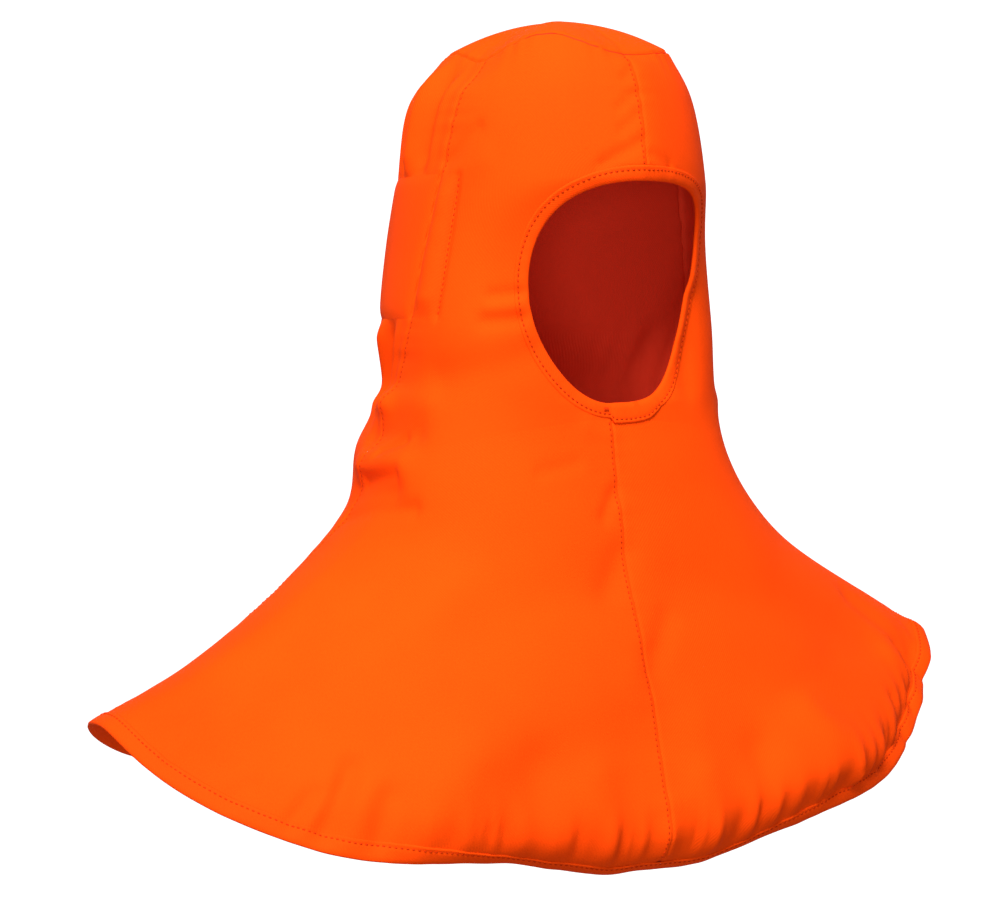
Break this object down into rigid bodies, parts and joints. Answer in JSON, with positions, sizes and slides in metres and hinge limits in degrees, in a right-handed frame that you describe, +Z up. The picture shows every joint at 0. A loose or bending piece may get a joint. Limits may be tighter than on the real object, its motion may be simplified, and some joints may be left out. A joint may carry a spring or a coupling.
{
  "type": "flame-resistant hood",
  "caption": "Orange flame-resistant cloth hood that covers the head, neck and shoulders, with a bound oval face opening and a wide bound cape.",
  "frame": {"origin": "head seat: the inside of the crown at its top, where the top of the head carries the hood", "axes": "+Z up, the face opening looks along -Y, the wearer's right shoulder is at -X"},
  "size_m": [0.6177, 0.3276, 0.533],
  "materials": {
    "hood_cloth": "matt twill weave",
    "band_cloth": "matt twill weave, drawn over elastic",
    "binding_tape": "matt twill tape, folded and stitched"
  },
  "bodies": {
    "root": {"right_panel": "hood_cloth", "left_panel": "hood_cloth", "back_panel": "hood_cloth", "crown_panel": "hood_cloth", "back_band": "band_cloth", "band_end_right": "band_cloth", "band_end_left": "band_cloth", "face_binding": "binding_tape", "hem_binding": "binding_tape"}
  },
  "joints": []
}
